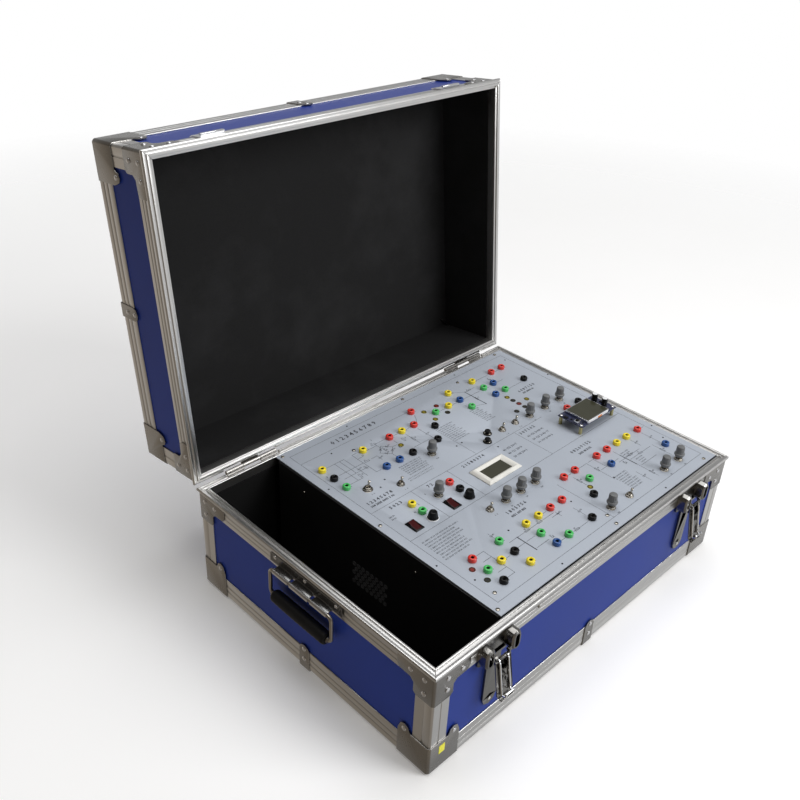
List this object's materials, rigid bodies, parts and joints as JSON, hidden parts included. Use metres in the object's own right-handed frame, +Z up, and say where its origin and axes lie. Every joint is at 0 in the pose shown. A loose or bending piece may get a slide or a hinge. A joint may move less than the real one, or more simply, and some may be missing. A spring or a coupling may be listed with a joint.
{
  "type": "digital logic trainer",
  "caption": "Teaching trainer for digital circuits in an open aluminium-edged flight case: a panel of patch sockets, switches and knobs beside a storage compartment.",
  "frame": {"origin": "centre of the plane that the base of the case stands on, between its four outer walls", "axes": "+Z up, +X to the right along the hinge line, -Y towards the latches, +Y towards the hinges"},
  "size_m": [0.6464, 0.6347, 0.5997],
  "materials": {
    "blue_board": "glossy blue laminate over plywood",
    "black_lining": "matte black lining sheet",
    "satin_aluminium": "satin anodised extrusion with fine ribs",
    "nickel_steel": "pressed steel, nickel plated",
    "chrome": "bright plated steel",
    "black_rubber": "satin moulded grip",
    "silver_panel": "fine silver paint with printed lines",
    "black_sheet": "black powder-coated sheet",
    "red_plastic": "moulded, semi-gloss",
    "yellow_plastic": "moulded, semi-gloss",
    "green_plastic": "moulded, semi-gloss",
    "blue_plastic": "moulded, semi-gloss",
    "black_plastic": "moulded, semi-gloss",
    "grey_plastic": "moulded grey, fine grain",
    "nickel_nuts": "turned and nickel plated",
    "warm_white_plastic": "moulded, satin",
    "display_window": "dark olive display window",
    "navy_board": "solder-masked circuit board",
    "green_board": "circuit board",
    "core_steel": "varnished lamination stack"
  },
  "bodies": {
    "base": {"base_boards": "blue_board", "compartment_lining": "black_lining", "base_extrusions": "satin_aluminium", "base_corner_fittings": "nickel_steel", "base_hinge_leaves": "nickel_steel", "latch_base_plates": "chrome", "handle_plates": "chrome", "panel_box": "black_sheet", "control_panel": "silver_panel", "red_jacks": "red_plastic", "yellow_jacks": "yellow_plastic", "green_jacks": "green_plastic", "blue_jacks": "blue_plastic", "black_jacks": "black_plastic", "control_bushings": "nickel_nuts", "switch_bezels": "black_plastic", "meter_bezel": "warm_white_plastic", "lcd_screens": "display_window", "display_board": "navy_board", "main_circuit_board": "green_board", "power_transformer": "core_steel", "mains_inlet": "black_plastic"},
    "lid": {"lid_boards": "blue_board", "lid_lining": "black_lining", "lid_extrusions": "satin_aluminium", "lid_corner_fittings": "nickel_steel", "lid_hinge_leaves": "nickel_steel", "latch_strikes": "chrome"},
    "left_handle": {"left_handle_bail": "chrome", "left_handle_grip": "black_rubber"},
    "right_handle": {"right_handle_bail": "chrome", "right_handle_grip": "black_rubber"},
    "left_latch_lever": {"left_latch_lever": "chrome"},
    "left_latch_bail": {"left_latch_bail": "chrome"},
    "right_latch_lever": {"right_latch_lever": "chrome"},
    "right_latch_bail": {"right_latch_bail": "chrome"},
    "display_button": {"display_button": "black_plastic"},
    "pot_knob_1": {"pot_knob_1": "grey_plastic"},
    "pot_knob_2": {"pot_knob_2": "grey_plastic"},
    "pot_knob_3": {"pot_knob_3": "grey_plastic"},
    "pot_knob_4": {"pot_knob_4": "grey_plastic"},
    "pot_knob_5": {"pot_knob_5": "grey_plastic"},
    "pot_knob_6": {"pot_knob_6": "grey_plastic"},
    "pot_knob_7": {"pot_knob_7": "grey_plastic"},
    "pot_knob_8": {"pot_knob_8": "grey_plastic"},
    "pot_knob_9": {"pot_knob_9": "grey_plastic"},
    "pot_knob_10": {"pot_knob_10": "grey_plastic"},
    "pot_knob_11": {"pot_knob_11": "grey_plastic"},
    "toggle_lever_1": {"toggle_lever_1": "chrome"},
    "toggle_lever_2": {"toggle_lever_2": "chrome"},
    "toggle_lever_3": {"toggle_lever_3": "chrome"},
    "toggle_lever_4": {"toggle_lever_4": "chrome"},
    "toggle_lever_5": {"toggle_lever_5": "chrome"},
    "toggle_lever_6": {"toggle_lever_6": "chrome"},
    "rocker_1": {"rocker_1": "red_plastic"},
    "fuse_cap_1": {"fuse_cap_1": "black_plastic"},
    "push_button_1": {"push_button_1": "black_plastic"},
    "rocker_2": {"rocker_2": "red_plastic"},
    "fuse_cap_2": {"fuse_cap_2": "black_plastic"},
    "push_button_2": {"push_button_2": "black_plastic"}
  },
  "joints": [
    {"name": "lid_hinge", "type": "hinge", "parent": "base", "child": "lid", "pos_m": [0, 0.2203, 0.1612], "axis": [1, 0, 0], "range_deg": [0, 96.3]},
    {"name": "left_latch_lever_pivot", "type": "hinge", "parent": "base", "child": "left_latch_lever", "pos_m": [-0.206, -0.2275, 0.136], "axis": [1, 0, 0], "range_deg": [-90, 10.4]},
    {"name": "left_latch_bail_pivot", "type": "hinge", "parent": "left_latch_lever", "child": "left_latch_bail", "pos_m": [-0.206, -0.22839, 0.13006], "axis": [-1, 0, 0], "range_deg": [0, 180]},
    {"name": "right_latch_lever_pivot", "type": "hinge", "parent": "base", "child": "right_latch_lever", "pos_m": [0.206, -0.2275, 0.136], "axis": [1, 0, 0], "range_deg": [-90, 10.4]},
    {"name": "right_latch_bail_pivot", "type": "hinge", "parent": "right_latch_lever", "child": "right_latch_bail", "pos_m": [0.206, -0.22839, 0.13006], "axis": [-1, 0, 0], "range_deg": [0, 180]},
    {"name": "left_handle_swing", "type": "hinge", "parent": "base", "child": "left_handle", "pos_m": [-0.314, -0.005, 0.1385], "axis": [0, 1, 0], "range_deg": [0, 90]},
    {"name": "right_handle_swing", "type": "hinge", "parent": "base", "child": "right_handle", "pos_m": [0.314, -0.005, 0.1385], "axis": [0, -1, 0], "range_deg": [0, 90]},
    {"name": "pot_knob_1_turn", "type": "hinge", "parent": "base", "child": "pot_knob_1", "pos_m": [-0.015, 0.068, 0.175], "axis": [0, 0, 1], "range_deg": [-150, 150]},
    {"name": "pot_knob_2_turn", "type": "hinge", "parent": "base", "child": "pot_knob_2", "pos_m": [-0.077, -0.004, 0.175], "axis": [0, 0, 1], "range_deg": [-150, 150]},
    {"name": "pot_knob_3_turn", "type": "hinge", "parent": "base", "child": "pot_knob_3", "pos_m": [-0.018, -0.071, 0.175], "axis": [0, 0, 1], "range_deg": [-150, 150]},
    {"name": "pot_knob_4_turn", "type": "hinge", "parent": "base", "child": "pot_knob_4", "pos_m": [0.013, -0.071, 0.175], "axis": [0, 0, 1], "range_deg": [-150, 150]},
    {"name": "pot_knob_5_turn", "type": "hinge", "parent": "base", "child": "pot_knob_5", "pos_m": [0.044, -0.071, 0.175], "axis": [0, 0, 1], "range_deg": [-150, 150]},
    {"name": "pot_knob_6_turn", "type": "hinge", "parent": "base", "child": "pot_knob_6", "pos_m": [0.17, 0.04, 0.175], "axis": [0, 0, 1], "range_deg": [-150, 150]},
    {"name": "pot_knob_7_turn", "type": "hinge", "parent": "base", "child": "pot_knob_7", "pos_m": [0.207, 0.04, 0.175], "axis": [0, 0, 1], "range_deg": [-150, 150]},
    {"name": "pot_knob_8_turn", "type": "hinge", "parent": "base", "child": "pot_knob_8", "pos_m": [0.243, 0.04, 0.175], "axis": [0, 0, 1], "range_deg": [-150, 150]},
    {"name": "pot_knob_9_turn", "type": "hinge", "parent": "base", "child": "pot_knob_9", "pos_m": [0.076, -0.173, 0.175], "axis": [0, 0, 1], "range_deg": [-150, 150]},
    {"name": "pot_knob_10_turn", "type": "hinge", "parent": "base", "child": "pot_knob_10", "pos_m": [0.206, -0.173, 0.175], "axis": [0, 0, 1], "range_deg": [-150, 150]},
    {"name": "pot_knob_11_turn", "type": "hinge", "parent": "base", "child": "pot_knob_11", "pos_m": [0.243, -0.173, 0.175], "axis": [0, 0, 1], "range_deg": [-150, 150]},
    {"name": "toggle_lever_1_flip", "type": "hinge", "parent": "base", "child": "toggle_lever_1", "pos_m": [-0.139, 0.067, 0.1636], "axis": [-1, 0, 0], "range_deg": [0, 20]},
    {"name": "toggle_lever_2_flip", "type": "hinge", "parent": "base", "child": "toggle_lever_2", "pos_m": [-0.098, 0.046, 0.1636], "axis": [-1, 0, 0], "range_deg": [0, 20]},
    {"name": "toggle_lever_3_flip", "type": "hinge", "parent": "base", "child": "toggle_lever_3", "pos_m": [0.108, 0.042, 0.1636], "axis": [-1, 0, 0], "range_deg": [0, 20]},
    {"name": "toggle_lever_4_flip", "type": "hinge", "parent": "base", "child": "toggle_lever_4", "pos_m": [0.138, 0.042, 0.1636], "axis": [-1, 0, 0], "range_deg": [0, 20]},
    {"name": "toggle_lever_5_flip", "type": "hinge", "parent": "base", "child": "toggle_lever_5", "pos_m": [-0.049, -0.07, 0.1636], "axis": [-1, 0, 0], "range_deg": [0, 20]},
    {"name": "toggle_lever_6_flip", "type": "hinge", "parent": "base", "child": "toggle_lever_6", "pos_m": [0.116, -0.175, 0.1636], "axis": [-1, 0, 0], "range_deg": [0, 20]},
    {"name": "rocker_1_tilt", "type": "hinge", "parent": "base", "child": "rocker_1", "pos_m": [-0.077, -0.029, 0.161], "axis": [-1, 0, 0], "range_deg": [0, 24]},
    {"name": "rocker_2_tilt", "type": "hinge", "parent": "base", "child": "rocker_2", "pos_m": [-0.146, -0.028, 0.161], "axis": [-1, 0, 0], "range_deg": [0, 24]},
    {"name": "fuse_cap_1_turn", "type": "hinge", "parent": "base", "child": "fuse_cap_1", "pos_m": [-0.048, -0.033, 0.168], "axis": [0, 0, 1], "range_deg": [0, 90]},
    {"name": "fuse_cap_2_turn", "type": "hinge", "parent": "base", "child": "fuse_cap_2", "pos_m": [-0.117, -0.032, 0.168], "axis": [0, 0, 1], "range_deg": [0, 90]},
    {"name": "push_button_1_press", "type": "slide", "parent": "base", "child": "push_button_1", "axis": [0, 0, -1], "range_m": [0, 0.0025], "stiffness_N_per_m": 200, "springref_m": -0.002},
    {"name": "push_button_2_press", "type": "slide", "parent": "base", "child": "push_button_2", "axis": [0, 0, -1], "range_m": [0, 0.0025], "stiffness_N_per_m": 200, "springref_m": -0.002},
    {"name": "display_button_press", "type": "slide", "parent": "base", "child": "display_button", "axis": [0, 0, -1], "range_m": [0, 0.0012], "stiffness_N_per_m": 200, "springref_m": -0.001}
  ]
}
